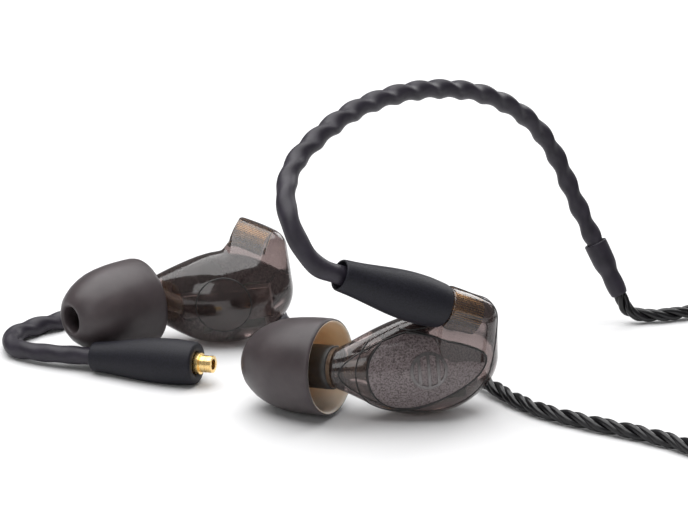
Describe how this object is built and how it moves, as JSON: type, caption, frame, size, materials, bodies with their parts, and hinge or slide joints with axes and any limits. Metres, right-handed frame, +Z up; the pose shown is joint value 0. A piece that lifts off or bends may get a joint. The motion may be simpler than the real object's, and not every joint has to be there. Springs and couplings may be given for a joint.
{
  "type": "in ear monitors",
  "caption": "Universal-fit in ear monitors with translucent shells, silicone eartips and a detachable twisted cable with formed ear loops.",
  "frame": {"origin": "under the middle of the monitors, plugs and ear loops, on the floor they rest on", "axes": "+X to the right along the layout, +Y away from the viewer, +Z up"},
  "size_m": [0.1575, 0.0813, 0.0406],
  "materials": {
    "smoke_shell": "polished translucent smoke",
    "faceplate": "fine-textured translucent smoke",
    "emblem": "satin",
    "neck_ring": "dark satin",
    "filter_mesh": "fine mesh",
    "clear_tube": "clear soft",
    "driver_case": "satin",
    "circuit_board": "lacquered",
    "gilt_metal": "gilt polished",
    "insulator": "moulded",
    "tip_silicone": "satin translucent silicone",
    "tip_core": "matte",
    "boot_rubber": "fine matte grain",
    "loop_sleeve": "matte shrink sleeve",
    "cable_jacket": "smooth gloss",
    "tie_strap": "woven"
  },
  "bodies": {
    "cable": {"left_plug_barrel": "gilt_metal", "left_plug_insulator": "insulator", "left_plug_pin": "gilt_metal", "left_boot": "boot_rubber", "left_ear_loop": "loop_sleeve", "left_loop_collar": "loop_sleeve", "left_twisted_pair": "cable_jacket", "right_plug_barrel": "gilt_metal", "right_plug_insulator": "insulator", "right_plug_pin": "gilt_metal", "right_boot": "boot_rubber", "right_ear_loop": "loop_sleeve", "right_loop_collar": "loop_sleeve", "right_twisted_pair": "cable_jacket", "y_split": "boot_rubber", "main_cable": "cable_jacket", "cable_coil": "cable_jacket", "coil_tie": "tie_strap", "plug_tail": "cable_jacket", "jack_strain_relief": "boot_rubber", "jack_housing": "boot_rubber", "jack_sleeve": "gilt_metal", "jack_insulator": "insulator", "jack_ring": "gilt_metal", "jack_tip": "gilt_metal"},
    "left_snap_ring": {"left_plug_snap_ring": "gilt_metal"},
    "left_monitor": {"left_shell_body": "smoke_shell", "left_shell_cover": "smoke_shell", "left_faceplate": "faceplate", "left_emblem": "emblem", "left_inner_badge": "smoke_shell", "left_neck_ring": "neck_ring", "left_acoustic_filter": "filter_mesh", "left_sound_tube": "clear_tube", "left_woofer_driver": "driver_case", "left_tweeter_driver": "driver_case", "left_crossover_board": "circuit_board", "left_socket_barrel": "gilt_metal", "left_socket_insulator": "insulator", "left_socket_contact": "gilt_metal"},
    "left_eartip": {"left_eartip_skirt": "tip_silicone", "left_eartip_core": "tip_core"},
    "right_snap_ring": {"right_plug_snap_ring": "gilt_metal"},
    "right_monitor": {"right_shell_body": "smoke_shell", "right_shell_cover": "smoke_shell", "right_faceplate": "faceplate", "right_emblem": "emblem", "right_inner_badge": "smoke_shell", "right_neck_ring": "neck_ring", "right_acoustic_filter": "filter_mesh", "right_sound_tube": "clear_tube", "right_woofer_driver": "driver_case", "right_tweeter_driver": "driver_case", "right_crossover_board": "circuit_board", "right_socket_barrel": "gilt_metal", "right_socket_insulator": "insulator", "right_socket_contact": "gilt_metal"},
    "right_eartip": {"right_eartip_skirt": "tip_silicone", "right_eartip_core": "tip_core"},
    "chin_slider": {"chin_slider": "boot_rubber"}
  },
  "joints": [
    {"name": "left_plug_swivel", "type": "hinge", "parent": "cable", "child": "left_snap_ring", "pos_m": [0.01646, -0.0196, 0.01572], "axis": [-0.8407, -0.3758, 0.3899], "range_deg": [-35, 35]},
    {"name": "left_plug_release", "type": "slide", "parent": "left_snap_ring", "child": "left_monitor", "axis": [0.8407, 0.3758, -0.3899], "range_m": [0, 0.0025]},
    {"name": "left_eartip_pull", "type": "slide", "parent": "left_monitor", "child": "left_eartip", "axis": [-0.8762, 0.4717, -0.099], "range_m": [0, 0.006]},
    {"name": "right_snap_ring_turn", "type": "hinge", "parent": "cable", "child": "right_snap_ring", "pos_m": [-0.0168, -0.0069, 0.00311], "axis": [-0.9423, 0.3301, -0.056], "continuous": true},
    {"name": "right_monitor_lift", "type": "slide", "parent": "cable", "child": "right_monitor", "axis": [0, 0, 1], "range_m": [0, 0.03]},
    {"name": "right_eartip_turn", "type": "hinge", "parent": "right_monitor", "child": "right_eartip", "pos_m": [-0.02536, 0.01066, 0.00669], "axis": [-0.73, -0.6834, -0.0008], "continuous": true},
    {"name": "chin_slider_slide", "type": "slide", "parent": "cable", "child": "chin_slider", "axis": [-1, 0, 0], "range_m": [0, 0.006]}
  ]
}
